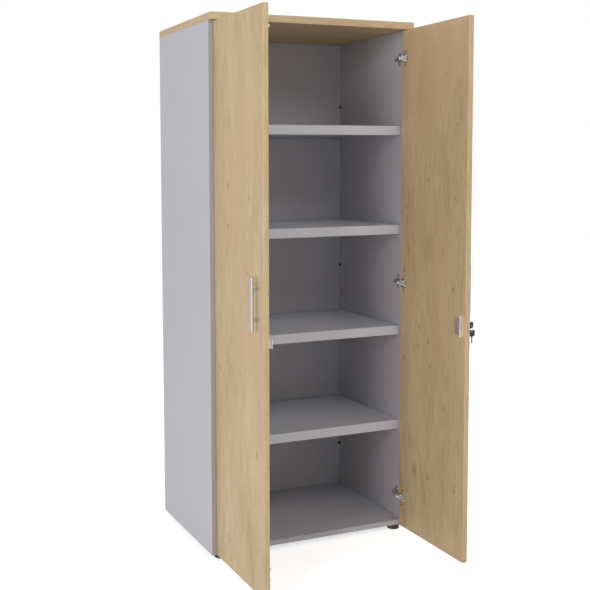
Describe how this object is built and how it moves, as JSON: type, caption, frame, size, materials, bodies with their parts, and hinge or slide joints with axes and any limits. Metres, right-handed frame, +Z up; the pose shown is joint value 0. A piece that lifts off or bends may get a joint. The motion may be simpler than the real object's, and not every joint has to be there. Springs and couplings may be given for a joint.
{
  "type": "storage cabinet",
  "caption": "Tall storage cabinet with hinged doors on concealed cup hinges, steel shelves with file rails, a lock with keys and levelling feet.",
  "frame": {"origin": "centre of the bounding box's base, on the floor, with both doors open at a right angle", "axes": "+Z up, -Y out of the cabinet's front, +X towards the right door as seen from the front"},
  "size_m": [0.833, 0.92, 1.9],
  "materials": {
    "oak_board": "light oak decor, satin",
    "grey_board": "light grey decor, satin",
    "grey_steel": "light grey powder coat",
    "nickel": "satin nickel",
    "zinc": "zinc plated",
    "black_plastic": "matte",
    "beech": "bare beech"
  },
  "bodies": {
    "carcass": {"side_panel_left": "grey_board", "side_panel_right": "grey_board", "top_panel": "oak_board", "bottom_panel": "grey_board", "back_panel": "grey_board", "shelf_1": "grey_steel", "shelf_2": "grey_steel", "shelf_3": "grey_steel", "shelf_4": "grey_steel", "shelf_pins": "nickel", "back_clips": "black_plastic", "cam_locks": "zinc", "cam_bolts": "zinc", "dowels": "beech", "foot_sockets": "zinc", "hinge_plates": "nickel", "hinge_plate_screws": "zinc", "arm_pins": "zinc", "hinge_arm_left_top": "nickel", "hinge_arm_left_middle": "nickel", "hinge_arm_left_bottom": "nickel", "hinge_arm_right_top": "nickel", "hinge_arm_right_middle": "nickel", "hinge_arm_right_bottom": "nickel"},
    "left_long_links": {"long_links_left": "zinc"},
    "left_short_links": {"short_links_left": "zinc"},
    "left_door": {"door_left": "oak_board", "handle_left": "nickel", "hinge_cup_left_top": "nickel", "hinge_cup_left_middle": "nickel", "hinge_cup_left_bottom": "nickel", "cup_pins_left": "zinc", "door_screws": "zinc", "strike": "zinc", "slide_guides": "nickel"},
    "top_slide_bolt": {"slide_bolt_top": "zinc"},
    "bottom_slide_bolt": {"slide_bolt_bottom": "zinc"},
    "right_long_links": {"long_links_right": "zinc"},
    "right_short_links": {"short_links_right": "zinc"},
    "right_door": {"door_right": "oak_board", "handle_right": "nickel", "hinge_cup_right_top": "nickel", "hinge_cup_right_middle": "nickel", "hinge_cup_right_bottom": "nickel", "cup_pins_right": "zinc", "faceplate_screws": "zinc", "lock_case": "zinc", "lock_faceplate": "nickel", "lock_cylinder": "nickel"},
    "key": {"lock_plug": "nickel", "key_blade": "nickel", "key_head": "black_plastic"},
    "lock_bolt": {"lock_bolt": "zinc"},
    "spare_key": {"key_ring": "nickel", "spare_key_blade": "nickel", "spare_key_head": "black_plastic"},
    "front_left_foot": {"foot_front_left": "black_plastic"},
    "front_right_foot": {"foot_front_right": "black_plastic"},
    "rear_left_foot": {"foot_rear_left": "black_plastic"},
    "rear_right_foot": {"foot_rear_right": "black_plastic"}
  },
  "joints": [
    {"name": "left_long_link_turn", "type": "hinge", "parent": "carcass", "child": "left_long_links", "pos_m": [-0.362, -0.0332, 0.9465], "axis": [0, 0, -1], "range_deg": [0, 45]},
    {"name": "left_short_link_turn", "type": "hinge", "parent": "carcass", "child": "left_short_links", "pos_m": [-0.354, -0.04376, 0.9465], "axis": [0, 0, -1], "range_deg": [0, 47.26]},
    {"name": "left_door_swing", "type": "hinge", "parent": "left_long_links", "child": "left_door", "pos_m": [-0.36603, -0.061, 0.9465], "axis": [0, 0, 1], "range_deg": [0, 135]},
    {"name": "top_bolt_slide", "type": "slide", "parent": "left_door", "child": "top_slide_bolt", "axis": [0, 0, 1], "range_m": [0, 0.012]},
    {"name": "bottom_bolt_slide", "type": "slide", "parent": "left_door", "child": "bottom_slide_bolt", "axis": [0, 0, -1], "range_m": [0, 0.012]},
    {"name": "right_long_link_turn", "type": "hinge", "parent": "carcass", "child": "right_long_links", "pos_m": [0.362, -0.0332, 0.9465], "axis": [0, 0, 1], "range_deg": [0, 45]},
    {"name": "right_short_link_turn", "type": "hinge", "parent": "carcass", "child": "right_short_links", "pos_m": [0.354, -0.04376, 0.9465], "axis": [0, 0, 1], "range_deg": [0, 47.26]},
    {"name": "right_door_swing", "type": "hinge", "parent": "right_long_links", "child": "right_door", "pos_m": [0.36603, -0.061, 0.9465], "axis": [0, 0, -1], "range_deg": [0, 135]},
    {"name": "key_turn", "type": "hinge", "parent": "right_door", "child": "key", "pos_m": [0.38253, -0.414, 0.838], "axis": [1, 0, 0], "range_deg": [0, 90]},
    {"name": "lock_bolt_slide", "type": "slide", "parent": "right_door", "child": "lock_bolt", "axis": [0, -1, 0], "range_m": [0, 0.008]},
    {"name": "key_ring_swing", "type": "hinge", "parent": "key", "child": "spare_key", "pos_m": [0.41203, -0.414, 0.83261], "axis": [0, -1, 0], "range_deg": [-25, 80]},
    {"name": "front_left_foot_screw", "type": "slide", "parent": "carcass", "child": "front_left_foot", "axis": [0, 0, -1], "range_m": [0, 0.01]},
    {"name": "front_right_foot_screw", "type": "slide", "parent": "carcass", "child": "front_right_foot", "axis": [0, 0, -1], "range_m": [0, 0.01]},
    {"name": "rear_left_foot_screw", "type": "slide", "parent": "carcass", "child": "rear_left_foot", "axis": [0, 0, -1], "range_m": [0, 0.01]},
    {"name": "rear_right_foot_screw", "type": "slide", "parent": "carcass", "child": "rear_right_foot", "axis": [0, 0, -1], "range_m": [0, 0.01]}
  ],
  "couplings": [
    {"joint": "left_long_link_turn", "follows": "left_door_swing", "ratio": 0.33333},
    {"joint": "left_short_link_turn", "follows": "left_door_swing", "ratio": 0.35007},
    {"joint": "right_long_link_turn", "follows": "right_door_swing", "ratio": 0.33333},
    {"joint": "right_short_link_turn", "follows": "right_door_swing", "ratio": 0.35007},
    {"joint": "lock_bolt_slide", "follows": "key_turn", "m_per_rad": 0.005093}
  ]
}
